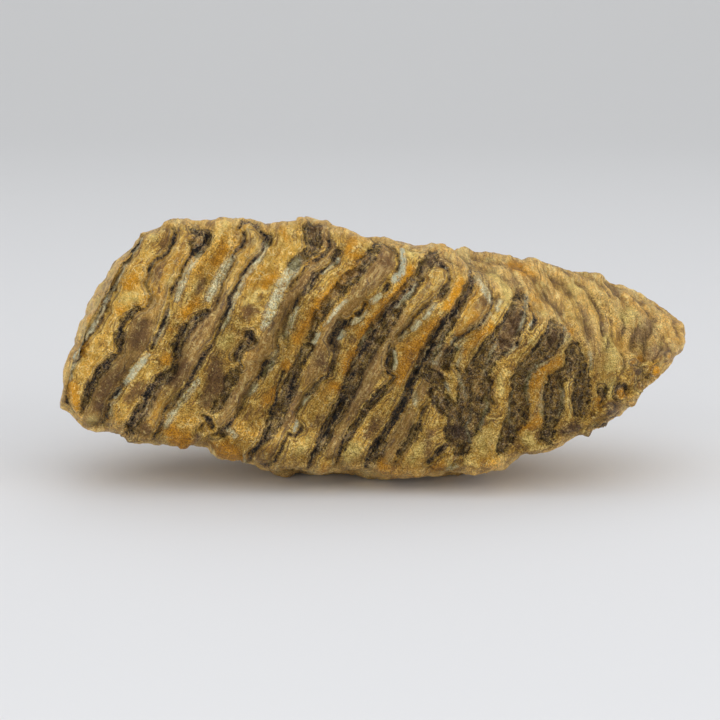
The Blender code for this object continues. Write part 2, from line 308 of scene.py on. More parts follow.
blackLines = (  # the open edges of the enamel, and the black pockets
    (142, 232, 1.2, 136, 243, 1.8, 131, 251, 2.6, 127, 258, 2.6, 122, 267, 1.5, 118, 277, 1.4, 114, 285, 1.8,
     107, 295, 1.3, 103, 304, 1.2, 100, 314, 1.3, 95, 323, 1.2, 87, 332, 1.2, 80, 343, 1.2),
    (117, 283, 1.2, 110, 297, 1.2, 106, 308, 1.5, 104, 315, 1.2, 98, 327, 1.3, 89, 336, 1.1, 83, 344, 1.1),
    (79, 352, 2, 73, 360, 1.3, 68, 369, 1.2, 65, 379, 1.1, 63, 392, 1.2, 66, 404, 1.3, 71, 413, 1.5, 78, 421, 1.6,
     87, 429, 1.4, 96, 431, 1.2),
    (173, 226, 1.4, 174, 233, 1.6, 172, 242, 2.1, 168, 250, 2.3, 162, 256, 2.1, 157, 259, 1.7, 152, 264, 2,
     149, 270, 2.2, 149, 278, 1.7, 145, 284, 1.9, 147, 290, 1.2, 150, 296, 1.1, 150, 303, 1.2, 145, 309, 1.2,
     139, 311, 1.5, 134, 313, 2.5, 128, 317, 2.5, 122, 321, 2.4, 119, 329, 3.2, 119, 338, 2.6, 119, 346, 2.4,
     121, 353, 1.8),
    (116, 356, 1.7, 108, 362, 2.6, 101, 369, 3, 95, 378, 2.6, 90, 387, 2.2, 87, 395, 2.2, 83, 405, 1.8,
     80, 415, 1.3),
    (192, 226, 3, 200, 231, 4, 206, 234, 4.5, 202, 243, 3.6, 195, 249, 3.8, 191, 255, 1.8, 184, 266, 1.5,
     180, 275, 1.5, 175, 283, 2, 172, 291, 1.5, 168, 304, 1.5, 166, 313, 2.2, 163, 322, 2.6, 160, 331, 2,
     156, 339, 2.2, 151, 347, 1.6),
    (122, 385, 2, 116, 394, 2.2, 110, 401, 2, 107, 412, 2.2, 104, 424, 2.2, 101, 431, 1.4),
    (237, 227, 1.7, 242, 223, 2.1, 248, 222, 2.2, 255, 224, 2.2, 262, 229, 2.4, 266, 234, 2.7, 263, 242, 2.1,
     262, 250, 2.1, 257, 257, 2.3, 251, 263, 2.1, 245, 270, 2.2, 241, 276, 2.2, 237, 284, 2.1, 234, 291, 2.1,
     230, 297, 2.7, 229, 305, 2.6, 226, 312, 2.6, 222, 320, 2.2, 219, 330, 2.1, 217, 337, 1.6, 212, 343, 1.9,
     208, 350, 2.8, 203, 356, 3.3, 198, 365, 3.4, 193, 373, 3, 190, 380, 2.8, 186, 388, 2.4, 179, 397, 2.9,
     173, 403, 2, 167, 409, 2.4, 163, 418, 2, 160, 427, 2.2, 157, 435, 2, 153, 442, 1.4),
    (244, 231, 2.2, 244, 240, 2.4, 240, 246, 2.4, 235, 251, 2, 232, 255, 1.8, 233, 261, 1, 230, 268, 1.2,
     226, 275, 1.3, 222, 281, 1.4, 221, 289, 1.5, 218, 299, 1.1, 214, 310, 1.1),
    (206, 314, 1.5, 200, 316, 2, 193, 320, 2.3, 187, 326, 2.6, 183, 334, 2.3, 178, 341, 2.6, 175, 347, 4.6,
     177, 354, 3.4, 174, 361, 1.3, 172, 367, 1.6, 170, 373, 2.8, 165, 378, 2.6, 158, 380, 2.4, 154, 386, 2.6,
     148, 391, 2.6, 144, 397, 2.8, 145, 404, 3.6, 142, 411, 4.6, 136, 418, 4.4, 130, 424, 3.6, 127, 431, 2.6,
     133, 437, 1.6), (305, 236, 1.4, 307, 247, 1.6, 301, 255, 1.3),
    (329, 222, 1.2, 330, 233, 1.4, 330, 244, 2, 327, 252, 2, 320, 257, 1.6, 312, 262, 1.4, 304, 269, 1.4,
     297, 277, 1.2, 291, 287, 1.1),
    (244, 333, 1.8, 251, 334, 2.6, 252, 340, 4, 245, 346, 2.6, 240, 350, 3.2, 235, 357, 2.6, 238, 363, 1.5,
     242, 368, 1.2), (203, 418, 2.4, 209, 422, 3.8, 212, 428, 2.4), (203, 426, 1.8, 199, 431, 1.4),
    (338, 252, 1.6, 334, 262, 1.8, 325, 268, 1.6, 317, 276, 2.4, 312, 284, 2.6, 306, 291, 2.4, 300, 297, 2.1,
     295, 305, 1.9, 290, 313, 1.2, 285, 324, 1.2, 283, 335, 1.2, 284, 344, 1.2),
    (279, 330, 1.1, 277, 345, 1.1, 278, 355, 1.6, 272, 360, 2, 265, 364, 2.6, 261, 373, 1.8, 258, 380, 2.2,
     250, 388, 1.8, 245, 397, 2.2, 243, 405, 1.5, 238, 412, 1.9, 233, 420, 2, 228, 427, 2.2, 221, 432, 2.8,
     213, 436, 1.6), (296, 374, 3.6, 293, 382, 4, 290, 391, 3.4, 288, 401, 3.2, 285, 410, 2),
    (283, 372, 2, 280, 381, 2.2, 278, 392, 2.2, 276, 403, 2, 270, 412, 2.4, 272, 422, 3.6, 267, 433, 4.6,
     263, 443, 4, 256, 450, 2.8, 250, 455, 2.4, 249, 461, 2, 254, 465, 1.9, 262, 467, 1.9, 270, 466, 1.9,
     276, 461, 2, 280, 453, 1.8, 284, 443, 1.8, 287, 435, 2),
    (382, 240, 1.3, 388, 243, 1.6, 393, 248, 1.3, 398, 254, 1.3, 400, 262, 1.3, 398, 269, 1.2),
    (388, 284, 2.4, 386, 288, 3.4, 383, 292, 2.4), (365, 304, 1.6, 363, 308, 1.8, 357, 314, 3.2),
    (352, 318, 1.4, 346, 325, 3, 341, 323, 4, 337, 331, 4.6, 331, 340, 4.2, 335, 348, 3.6, 335, 357, 2.6,
     333, 366, 2.6, 330, 375, 2.6, 322, 380, 2.2, 316, 386, 2.2, 310, 393, 2.6, 302, 402, 1.8, 298, 411, 1.5,
     296, 421, 1.3), (300, 425, 1.8, 301, 431, 2.8, 295, 436, 2.4, 288, 434, 2.2),
    (421, 262, 2.4, 427, 268, 2, 420, 276, 2.2),
    (412, 285, 2.4, 404, 293, 2.6, 397, 303, 2.6, 386, 314, 3, 378, 327, 3.4, 371, 340, 3.2, 363, 350, 3,
     355, 363, 3.4, 352, 377, 3.2, 347, 392, 3.4, 343, 402, 5.4, 337, 412, 6.2, 330, 422, 4.6, 325, 432, 4.2,
     321, 442, 4.4, 317, 452, 3.8, 311, 460, 2.8, 307, 469, 1.8),
    (432, 263, 1.8, 439, 262, 2.2, 446, 265, 2, 450, 272, 1.6, 450, 280, 2, 446, 289, 2.6, 441, 295, 2.2,
     434, 299, 1.5, 427, 305, 1.5, 420, 312, 1.6, 413, 322, 1.3, 409, 328, 1.6, 403, 331, 1.6, 398, 336, 1.4),
    (390, 345, 2, 388, 355, 2.2, 386, 365, 1.8, 388, 374, 1.4, 394, 378, 2, 389, 385, 2, 382, 391, 2, 374, 397, 2.4,
     369, 403, 2.4, 362, 414, 1.9, 355, 424, 2.3, 350, 432, 1.8, 345, 440, 2.4, 341, 450, 2.2, 338, 460, 1.8,
     337, 467, 1.3),
    (473, 263, 2, 471, 271, 1.9, 474, 280, 2.8, 472, 288, 2.6, 466, 296, 2.2, 460, 305, 3.8, 452, 315, 4.8,
     446, 322, 4.4, 440, 332, 4, 434, 342, 4.2, 428, 352, 4, 421, 363, 3.8, 416, 374, 4.6, 410, 385, 5.2,
     406, 397, 5.4, 400, 410, 5, 393, 421, 4.5, 386, 432, 4.4, 380, 443, 4.8, 373, 453, 5.2, 368, 462, 3.6,
     366, 469, 1.8),
    (474, 264, 1.4, 480, 271, 1.3, 486, 279, 1.3, 491, 288, 1.3, 493, 297, 1.4, 491, 306, 1.8, 487, 314, 1.8,
     481, 323, 1.8, 473, 331, 1.6, 463, 336, 1.5, 455, 340, 2, 451, 348, 2.2, 449, 356, 2.4),
    (430, 402, 1.8, 424, 411, 2, 415, 430, 2.4, 409, 441, 1.6, 402, 453, 1.6, 395, 463, 1.3),
    (447, 446, 2.4, 441, 452, 4, 434, 459, 2.6, 428, 466, 2.2),
    (515, 300, 1.6, 508, 312, 2, 503, 322, 1.4, 493, 333, 1.5, 483, 344, 1.6, 476, 355, 2.2, 473, 365, 1.8),
    (533, 300, 1.3, 537, 310, 1.6, 537, 319, 3, 531, 330, 1.3), (522, 338, 2, 511, 348, 2, 499, 356, 1.6),
    (487, 373, 2, 492, 382, 1.4, 489, 394, 2.2, 493, 404, 1.6), (452, 417, 1.6, 458, 423, 2),
    (455, 367, 1.2, 461, 374, 1.6), (520, 410, 1.4, 526, 417, 2.2),
    (553, 320, 1.4, 546, 333, 1.6, 538, 345, 1.6, 528, 356, 1.8, 522, 368, 2.4),
    (566, 328, 1.3, 563, 342, 1.6, 555, 352, 1.8, 542, 361, 1.5, 531, 369, 1.6),
    (586, 362, 2, 585, 370, 3, 577, 374, 2.2), (616, 387, 1.2, 615, 394, 1.6, 618, 401, 1.3, 624, 402, 1),
    (648, 379, 1, 655, 382, 1.2, 662, 377, 1), (599, 428, 3, 604, 425, 3.4),
    (546, 385, 1.6, 545, 402, 1.5, 547, 418, 1.5), (574, 385, 1.6, 573, 400, 1.6, 576, 412, 1.4),
    (603, 388, 1.8, 606, 398, 3, 602, 404, 1.4), (600, 429, 2.2, 607, 422, 2.6),
)
speckledBands = (  # crumbly grey and brown beside the black lines
    (130, 247, 3.6, 127, 258, 4.2), (136, 309, 4, 129, 315, 4), (118, 334, 5, 119, 346, 4),
    (112, 357, 3, 104, 367, 4.4, 94, 381, 4.4, 87, 394, 4.6, 83, 406, 3.6),
    (193, 227, 5, 204, 233, 7.6, 199, 244, 9, 194, 251, 4.6), (267, 236, 6, 267, 244, 3.5),
    (206, 313, 3.6, 194, 320, 5, 184, 333, 5, 176, 346, 6.4, 177, 355, 5),
    (176, 366, 3.6, 170, 374, 5.4, 160, 381, 5.6, 150, 391, 5.8, 146, 404, 6.4, 137, 418, 7, 129, 431, 6),
    (313, 227, 9.5, 314, 240, 9.5, 313, 249, 8, 303, 258, 6, 293, 266, 5),
    (249, 334, 4.6, 250, 341, 7, 241, 350, 5.4, 236, 358, 4.2),
    (236, 372, 5.4, 229, 384, 5.6, 226, 393, 4.8, 219, 404, 4.6, 213, 413, 3.6), (222, 433, 5.6),
    (338, 250, 3.4, 334, 262, 3.6), (316, 276, 3.8, 307, 290, 3.6), (270, 364, 3.6, 262, 375, 3),
    (378, 243, 5, 371, 254, 5.4, 362, 265, 6.4, 353, 276, 7, 342, 286, 7, 334, 297, 7, 327, 306, 6.6, 319, 316, 6,
     314, 327, 4.6, 309, 339, 4),
    (308, 348, 6, 302, 358, 4.4, 296, 370, 5.4, 291, 384, 8, 285, 401, 7.6, 276, 418, 8, 267, 436, 6.2),
    (433, 257, 7, 426, 264, 6.6, 419, 276, 6, 411, 286, 7.4, 403, 297, 8, 393, 311, 9, 382, 327, 10, 373, 341, 9.6,
     363, 355, 9.4, 357, 370, 8.6, 351, 386, 8, 344, 402, 7.4, 335, 417, 7.6, 327, 434, 6, 320, 450, 5.4),
    (447, 288, 4.4, 441, 295, 3.6), (392, 352, 4.6, 390, 368, 4.2),
    (385, 389, 3.6, 371, 402, 4.4, 352, 430, 4, 342, 450, 3.6),
    (474, 278, 4.6, 466, 297, 4.6, 455, 313, 6.6, 443, 330, 8.6, 435, 344, 9, 427, 357, 8, 421, 372, 7.6),
    (380, 447, 8, 376, 458, 7), (430, 376, 8, 440, 384, 7.6, 436, 396, 8, 446, 406, 9, 455, 416, 8),
    (452, 350, 5, 445, 366, 5.6), (417, 428, 5, 409, 441, 4, 400, 456, 3.6),
    (522, 296, 8.5, 521, 308, 10.5, 514, 324, 12.5, 505, 339, 13, 492, 351, 11.5, 484, 363, 11, 477, 376, 14,
     475, 391, 17.5, 473, 405, 17, 468, 420, 16, 458, 434, 14, 461, 448, 9.5),
    (556, 323, 6, 557, 334, 8.5, 550, 346, 10, 538, 358, 8.5, 526, 369, 7.5, 520, 382, 9.5, 519, 398, 10.5,
     519, 412, 11, 513, 426, 9, 507, 440, 8.5, 502, 452, 5),
    (576, 348, 7.5, 577, 360, 10.5, 570, 372, 7, 556, 381, 8, 554, 396, 10.5, 554, 411, 10.5, 552, 424, 7,
     547, 437, 7.5), (584, 372, 8, 583, 386, 9, 582, 400, 9, 581, 412, 7), (604, 392, 6), (623, 390, 6.5),
    (660, 366, 2),
)
paleEnamel = (  # bright chips of what is left of the enamel itself
    (141, 237, 1, 134, 248, 1.4, 126, 262, 1.2, 117, 281, 1.2, 110, 293, 1.5, 104, 306, 1.4, 98, 320, 1.5,
     88, 334, 1.5, 79, 346, 1.6, 71, 359, 1.8, 66, 373, 1.5, 63, 387, 1.2),
    (148, 354, 1.6, 141, 363, 3, 134, 372, 3.6, 127, 380, 3.6, 123, 385, 1.6), (119, 391, 2.6, 114, 397, 2.2),
    (268, 246, 1.6, 262, 256, 1.6, 255, 264, 2), (338, 258, 2, 329, 268, 1.6, 322, 273, 1.2),
    (347, 299, 1.4, 340, 307, 1.8, 332, 315, 2, 324, 325, 1.4), (318, 334, 2, 313, 342, 2.4),
    (402, 249, 2.2, 404, 261, 3, 401, 272, 3.8, 394, 280, 3.4), (379, 296, 3.4, 372, 302, 3.2),
    (366, 312, 1.8, 358, 319, 2.4, 350, 323, 2.2), (343, 334, 3.2, 338, 339, 2.4), (310, 397, 1.4, 303, 403, 2),
    (297, 423, 1.4, 294, 430, 2), (245, 452, 1, 245, 460, 1.2, 249, 467, 1.2, 258, 470, 1.2, 269, 471, 1.2),
    (429, 312, 2, 424, 318, 1.6), (419, 323, 3, 413, 329, 2.6), (395, 352, 1.6, 396, 361, 2.2, 395, 369, 2.4),
    (456, 338, 1.4, 452, 344, 1.8), (446, 384, 1.8, 449, 391, 1.6), (534, 320, 1.4, 531, 325, 1.2),
    (549, 361, 1, 537, 367, 1.2),
)
faintEnamel = (  # mottled blue grey and green remains beside the black lines
    (266, 241, 2.4, 260, 255, 2.8, 251, 268, 3, 243, 279, 3, 237, 291, 3, 231, 303, 3, 227, 317, 2.4, 222, 330, 2),
    (199, 252, 2.4, 193, 263, 3, 186, 273, 2.6, 181, 286, 3.4, 177, 299, 2.8),
    (168, 312, 2, 162, 330, 2, 155, 342, 1.6), (139, 236, 1.6, 134, 246, 2.2),
    (110, 291, 1.8, 104, 304, 1.6, 99, 318, 1.8, 91, 330, 2, 82, 343, 1.8),
    (76, 361, 2.6, 70, 372, 2.2, 67, 382, 1.4), (112, 403, 2, 109, 416, 2),
    (233, 257, 2.6, 225, 268, 4, 219, 278, 4.4, 213, 290, 4.4, 208, 299, 3),
    (198, 381, 2.2, 190, 391, 3, 184, 399, 2.2, 176, 408, 3, 171, 417, 2.6, 165, 428, 2.2),
    (299, 260, 3.6, 288, 276, 6, 279, 290, 5.6, 273, 304, 5.4, 268, 318, 5, 263, 328, 2.6),
    (297, 308, 2.2, 292, 318, 3, 289, 330, 2.6, 281, 340, 2), (276, 352, 1.8, 270, 367, 2.8, 263, 376, 2),
    (256, 385, 3, 249, 394, 2.4), (229, 431, 3, 236, 436, 2), (416, 284, 1.6, 407, 296, 2.2, 397, 308, 1.8),
    (434, 305, 2, 428, 311, 1.8), (406, 333, 2, 400, 339, 1.8),
    (478, 277, 1.8, 483, 286, 3.4, 488, 294, 3.6, 491, 301, 1.8), (490, 313, 1.2, 480, 325, 1.4, 471, 331, 1.4),
    (463, 339, 2, 457, 348, 2.6), (441, 353, 1.6, 436, 363, 1.6), (414, 392, 2.2, 416, 404, 2.4),
    (500, 300, 2.2, 497, 308, 1.6), (516, 346, 1.2, 506, 354, 1.2), (448, 470, 2.6, 456, 466, 2),
    (318, 384, 1.8, 311, 393, 1.6), (371, 330, 1.2, 360, 347, 1.2),
    (529, 291, 1, 530, 303, 1.3, 526, 316, 1, 519, 330, 0.8), (566, 322, 1, 568, 334, 1.3, 562, 346, 0.8),
    (591, 353, 1, 592, 368, 1.2), (497, 345, 0.6, 488, 360, 1, 484, 374, 0.6),
    (540, 362, 0.8, 531, 373, 1, 528, 386, 1, 529, 402, 0.6), (543, 388, 0.7, 541, 402, 1, 543, 418, 0.6),
    (562, 388, 0.7, 563, 402, 1, 560, 418, 0.6), (463, 350, 0.7, 457, 364, 1, 461, 382, 0.8, 466, 398, 0.6),
    (488, 398, 0.6, 486, 412, 1, 481, 430, 0.6), (472, 412, 0.6, 467, 428, 0.9, 470, 442, 0.5),
    (512, 392, 0.6, 510, 408, 0.9, 512, 424, 0.6), (448, 330, 0.7, 438, 347, 1, 431, 362, 0.7),
)
dentineBands = (  # the smooth lined inside of each plate
    (184, 230, 6.5, 180, 242, 7, 171, 258, 7.5, 161, 275, 8.5, 160, 292, 7, 152, 312, 7, 143, 326, 13, 137, 340, 13,
     129, 353, 9.5, 117, 369, 9.5, 106, 386, 10, 99, 402, 8.5, 92, 421, 9),
    (252, 233, 8, 251, 244, 8, 244, 257, 7.5, 236, 270, 6, 230, 283, 6, 224, 297, 6.5, 217, 310, 7, 209, 322, 10,
     199, 336, 11, 190, 352, 10.5, 182, 368, 9.5, 170, 386, 9, 160, 402, 9, 151, 418, 9, 143, 431, 9),
    (316, 228, 8, 333, 246, 3.2, 323, 259, 4.4, 308, 275, 5, 296, 292, 5.6, 285, 310, 6, 276, 328, 7.5,
     266, 346, 9.5, 254, 362, 9, 248, 378, 7, 239, 394, 7, 230, 408, 7, 221, 423, 4.6),
    (388, 250, 7, 386, 262, 9.5, 374, 277, 9.5, 361, 291, 8, 350, 304, 6.5, 338, 318, 6.5, 328, 332, 6.5,
     323, 350, 7.5, 316, 366, 8, 306, 384, 6, 299, 400, 4.6, 291, 415, 5, 281, 429, 5.2, 274, 440, 5.6,
     264, 456, 9),
    (441, 272, 6, 435, 284, 6, 425, 297, 6.5, 413, 311, 7, 401, 326, 7, 392, 341, 6, 383, 355, 8, 374, 370, 9,
     366, 385, 8, 358, 398, 7, 350, 411, 5.5, 342, 423, 6, 335, 442, 7, 331, 455, 5),
    (484, 301, 5, 477, 312, 7.5, 467, 325, 6.5, 456, 337, 3.6),
    (447, 350, 3.8, 440, 362, 4, 434, 373, 3.4, 424, 386, 4.4, 417, 398, 3.4),
    (410, 414, 5.6, 403, 427, 6.4, 394, 443, 6.4, 385, 458, 5.4), (518, 312, 7, 512, 326, 8.5, 506, 341, 8),
    (555, 330, 4.6, 550, 343, 4.6),
)
orangeStains = (
    (134, 279, 4, 127, 285, 5), (121, 311, 4.5), (87, 342, 3.6, 83, 353, 4), (72, 388, 4, 75, 400, 4.5, 76, 409, 2),
    (224, 249, 4, 216, 262, 4), (196, 300, 5, 186, 314, 6), (170, 328, 3), (166, 360, 5),
    (283, 229, 2.4, 285, 242, 2.6), (272, 277, 5, 266, 284, 4), (172, 432, 7, 186, 440, 7),
    (212, 446, 3, 228, 449, 7, 243, 456, 5), (352, 243, 4, 345, 254, 2.5, 362, 256, 2.6),
    (358, 264, 3, 345, 277, 4, 330, 291, 4.6, 316, 308, 4.6, 306, 325, 5, 297, 340, 4.6), (287, 365, 5),
    (275, 392, 6, 268, 402, 5), (411, 268, 3.6, 404, 285, 4, 389, 302, 4, 374, 320, 4.6, 362, 335, 5),
    (357, 348, 4, 350, 358, 6, 345, 371, 5), (334, 387, 6), (461, 283, 5, 457, 293, 5, 447, 306, 4.4),
    (437, 322, 5, 424, 337, 5, 412, 352, 7, 404, 368, 6, 399, 382, 4), (476, 315, 4.4, 468, 324, 4.4, 459, 334, 3),
    (490, 327, 3.6, 478, 339, 3.6, 465, 351, 3), (383, 465, 4.6), (436, 470, 4, 444, 464, 3.6), (325, 466, 4),
    (560, 361, 2.6, 548, 367, 3.6, 539, 375, 4, 536, 385, 3), (539, 420, 3, 528, 426, 2.8, 520, 430, 2.4),
    (570, 332, 3.6), (511, 263, 5, 522, 268, 4, 532, 273, 3), (655, 372, 5), (624, 394, 3.6),
    (598, 401, 4, 600, 407, 3), (643, 355, 4), (610, 430, 2, 590, 438, 4), (88, 300, 3, 87, 316, 3),
    (268, 450, 3.4), (304, 443, 2.6),
)
paleStains = (
    (134, 297, 5, 126, 297, 5), (152, 236, 4), (226, 226, 3), (230, 341, 6, 222, 343, 6), (168, 280, 4),
    (256, 240, 3, 252, 250, 3), (257, 300, 2, 245, 303, 2), (411, 253, 5, 406, 249, 3), (355, 450, 7, 347, 458, 5),
    (300, 450, 5, 308, 440, 3), (505, 284, 5, 509, 294, 5, 505, 303, 3), (491, 270, 4, 498, 277, 4),
    (420, 447, 5, 412, 460, 6), (480, 438, 3.4, 483, 452, 4), (500, 380, 3, 501, 393, 3.6), (533, 341, 3),
    (608, 340, 6, 614, 356, 7, 609, 367, 5), (625, 317, 7, 631, 312, 6), (573, 284, 4, 580, 290, 3), (545, 311, 4),
    (528, 440, 6), (612, 383, 4, 613, 395, 3), (449, 463, 3.4), (92, 421, 5), (568, 338, 3),
)
brownStains = (
    (167, 230, 3, 166, 241, 3, 160, 252, 2.2), (143, 326, 8, 136, 341, 9),
    (113, 376, 6, 103, 392, 6.6, 97, 407, 5.4), (103, 413, 4), (203, 282, 4, 198, 291, 4),
    (183, 366, 5, 172, 381, 5), (145, 430, 4.6), (132, 440, 3), (253, 310, 5, 247, 317, 4),
    (216, 360, 6, 219, 375, 8, 214, 390, 9, 205, 402, 8), (140, 385, 5, 130, 398, 5),
    (246, 244, 1.6, 236, 235, 2.4), (318, 224, 5), (320, 358, 6, 326, 369, 4.6), (412, 356, 3.6, 413, 363, 3),
    (352, 338, 3), (386, 262, 6), (430, 432, 3, 428, 455, 3.4), (518, 314, 6, 511, 329, 7, 505, 343, 7),
    (556, 330, 5, 554, 346, 5), (496, 297, 2), (442, 263, 3.6), (484, 300, 4), (270, 453, 2.4),
    (315, 425, 4, 322, 418, 3), (377, 420, 5, 368, 436, 4), (567, 268, 3, 560, 263, 4),
)
goldenZones = (  # parts of the plates where the inside has worn to the same gold as the cement
    (184, 232, 8, 176, 248, 8, 164, 268, 8, 157, 290, 7), (252, 232, 7, 248, 250, 8, 237, 268, 8, 228, 286, 7),
    (168, 392, 6, 158, 410, 6, 150, 424, 5), (278, 430, 5, 266, 452, 6), (440, 272, 5, 430, 290, 6, 412, 312, 6),
    (470, 312, 6, 460, 328, 5), (300, 380, 5, 306, 395, 4),
)
mauveStains = (
    (134, 245, 3), (156, 282, 3, 158, 268, 3), (103, 407, 3), (250, 240, 1.8),
    (340, 326, 6, 333, 341, 6.6, 336, 352, 4), (432, 256, 6, 442, 262, 4), (474, 270, 1.6),
    (198, 437, 3, 186, 445, 2.6), (520, 284, 4, 513, 277, 3.4), (560, 308, 4.4, 563, 316, 3),
    (586, 315, 2.6, 592, 330, 2.6, 588, 342, 3), (603, 320, 3, 604, 335, 2.6), (620, 287, 6, 612, 280, 5),
    (641, 335, 9, 648, 327, 7), (655, 352, 8, 665, 348, 6), (617, 409, 7, 609, 412, 5), (576, 425, 4, 563, 432, 3),
    (622, 328, 5), (640, 371, 5), (452, 430, 6, 465, 436, 8), (545, 288, 2.4, 553, 297, 2.4), (440, 376, 4),
)
raisedLips = (  # thin ledges that stand out, mostly at the ends of the plates
    (163, 222, 2, 177, 223, 2), (236, 222, 2, 244, 218, 2.2, 256, 220, 2.2, 266, 226, 2),
    (300, 219, 3, 312, 216, 3.4, 326, 220, 2.6), (181, 446, 2, 192, 440, 2.8, 203, 435, 3, 214, 431, 2.2),
    (247, 448, 1.6, 244, 458, 2, 249, 467, 2.2, 262, 471, 2.2, 278, 468, 1.8),
    (121, 436, 1.6, 133, 440, 2.4, 150, 441, 2), (84, 424, 2, 92, 429, 2), (318, 464, 3, 332, 464, 3),
    (436, 470, 3.4, 447, 463, 4, 455, 457, 2.6), (440, 472, 1.6, 452, 470, 2, 460, 466, 1.6),
    (470, 464, 1.6, 484, 462, 2, 500, 459, 1.6), (520, 452, 1.6, 545, 445, 1.8, 562, 438, 1.8),
    (566, 432, 1.8, 590, 419, 2, 610, 407, 1.8), (618, 403, 1.6, 640, 390, 1.8), (404, 296, 1.2, 396, 308, 1.2),
    (392, 328, 1.4, 391, 340, 1.4, 394, 332, 1.2), (526, 283, 1.2, 535, 294, 1.2),
    (345, 258, 1.8, 356, 264, 2, 366, 258, 1.8, 366, 250, 1.6), (479, 270, 1.2, 489, 282, 1.2),
    (512, 286, 1.8, 513, 298, 1.6), (268, 350, 1.4, 258, 360, 1.4), (163, 384, 1.4, 152, 397, 1.4),
)
rollSeamsAndShade = (  # thin seams where the plate edges cross over to the upper side, cut in as grooves and painted mauve as the shade beside the ridges
    (400, 246, 0.9, 425, 252, 1, 445, 258, 1, 460, 266, 0.9),
    (440, 246, 0.9, 462, 253, 1, 483, 263, 1.1, 500, 274, 1.1, 518, 284, 1.2, 529, 294, 1.1),
    (470, 250, 0.9, 493, 259, 1, 512, 270, 1.1, 524, 281, 1.1),
    (503, 258, 1, 524, 268, 1.1, 540, 281, 1.2, 553, 295, 1.2, 562, 306, 1.2, 566, 318, 1.1),
    (545, 268, 1, 562, 279, 1.1, 573, 292, 1, 580, 303, 1.1, 586, 317, 1.1, 590, 334, 1.1),
    (566, 270, 1, 582, 283, 1.1, 594, 299, 1.2, 601, 316, 1.3, 604, 338, 1.2),
    (585, 272, 1, 603, 285, 1.2, 613, 299, 1.2), (607, 280, 1.2, 620, 292, 1.1, 630, 305, 1),
    (632, 296, 1, 645, 308, 1.1, 655, 322, 1.1), (655, 308, 1, 668, 322, 1.1, 675, 338, 1),
    (640, 322, 1.2, 634, 334, 1.4, 633, 348, 1), (652, 330, 1.2, 646, 342, 1.4, 645, 356, 1),
    (664, 336, 1, 660, 350, 1.2, 655, 362, 1), (610, 318, 1, 612, 334, 1.2, 607, 350, 1),
    (622, 350, 1, 628, 362, 1.2, 622, 376, 1), (624, 312, 0.9, 626, 326, 1.1, 620, 340, 0.9),
)

nodules = (  # round knobs under the right end: x, y, radius, and tone from 0 dark to 1 orange
    (655, 373, 6.0, 1.0), (622, 394, 5.4, 0.8), (603, 425, 6.6, 0.0), (639, 386, 4.0, 0.5), (611, 408, 3.8, 0.1),
    (631, 403, 3.6, 0.4), (668, 357, 3.6, 0.7), (634, 362, 3.0, 0.6), (616, 418, 3.6, 0.2), (588, 430, 4.4, 0.3),
)
paintedDimZones = (  # broad parts of the face painted darker; away from them it is painted lighter, as painted light, and less grainy
    (140, 325, 10, 128, 360, 12, 104, 395, 12, 100, 425, 12), (222, 250, 6, 205, 285, 8, 196, 300, 10),
    (178, 330, 12, 172, 400, 18), (232, 330, 16, 214, 392, 22), (300, 320, 26, 262, 400, 30),
    (372, 310, 26, 330, 400, 38), (420, 340, 30, 400, 420, 36), (470, 350, 26, 470, 430, 34),
    (560, 350, 22, 540, 370, 32, 530, 430, 36), (596, 370, 26, 580, 420, 28),
    (140, 440, 14, 210, 438, 12, 280, 462, 12, 360, 462, 12, 450, 465, 16),
    (600, 300, 2, 645, 330, 9, 636, 385, 10),
)
drawnMarks = {
    "blackLine": blackLines, "speckled": speckledBands, "enamel": paleEnamel, "faint": faintEnamel,
    "dentine": dentineBands, "orange": orangeStains, "pale": paleStains, "brown": brownStains, "mauve": mauveStains,
    "lip": raisedLips, "seamAndShade": rollSeamsAndShade, "paintedDim": paintedDimZones, "golden": goldenZones,
}

paint = {
    "reach": 16.0,  # how far from a stroke its distance is measured
    "seenFrom": 0.02,  # a surface turned this far towards the camera begins to carry the strokes
    "seenFull": 0.14,
    "spotFacing": 0.12,  # a knob or swell is only placed on a surface turned this far towards the camera
    "spotPenalty": 40.0,  # squares by which every other surface counts as farther away
    "edge": 2.4,  # softness of a mark's edge
}


def strokeDistance(x, y, strokes):  # distance to the nearest stroke's edge, below 0 inside it
    reach = paint["reach"]
    nearest = np.full(x.shape, reach)
    for stroke in strokes:
        points = [stroke[i:i + 3] for i in range(0, len(stroke), 3)]
        for (x0, y0, w0), (x1, y1, w1) in zip(points, points[1:] or points):
            margin = reach + max(w0, w1)
            close = np.nonzero(
                (x > min(x0, x1) - margin) & (x < max(x0, x1) + margin)
                & (y > min(y0, y1) - margin) & (y < max(y0, y1) + margin)
            )[0]
            dx, dy = x1 - x0, y1 - y0
            along = ((x[close] - x0) * dx + (y[close] - y0) * dy) / max(dx * dx + dy * dy, 1e-9)
            along = np.clip(along, 0.0, 1.0)
            gap = np.hypot(x[close] - x0 - along * dx, y[close] - y0 - along * dy) - mix(w0, w1, along)
            nearest[close] = np.minimum(nearest[close], gap)
    return nearest


def distanceFrom(spot, laid, x, y, facing):  # in metres, from the visible point at this place in the frame
    hidden = facing < paint["spotFacing"]
    centre = laid[np.argmin(np.hypot(x - spot[0], y - spot[1]) + paint["spotPenalty"] * hidden)]
    return np.linalg.norm(laid - centre, axis=1)


def knobMarks(laid, x, y, facing):  # distance to the nearest knob, its tone, and the height of its dome
    away = np.array([distanceFrom(knob, laid, x, y, facing) for knob in nodules]) / square
    radii, tones = np.array([knob[2:] for knob in nodules]).T[:, :, None]
    domes = np.sqrt(np.clip(1.0 - (away / (radii + relief["knobFoot"])) ** 2, 0.0, 1.0))
    domes *= square * relief["knobShare"] * radii
    nearest = (away - radii).argmin(axis=0)
    return (away - radii).min(axis=0), tones[nearest, 0], domes.max(axis=0)


def smoothNoise(points, size):
    return np.array([noise.noise(Vector(point)) for point in points / size])


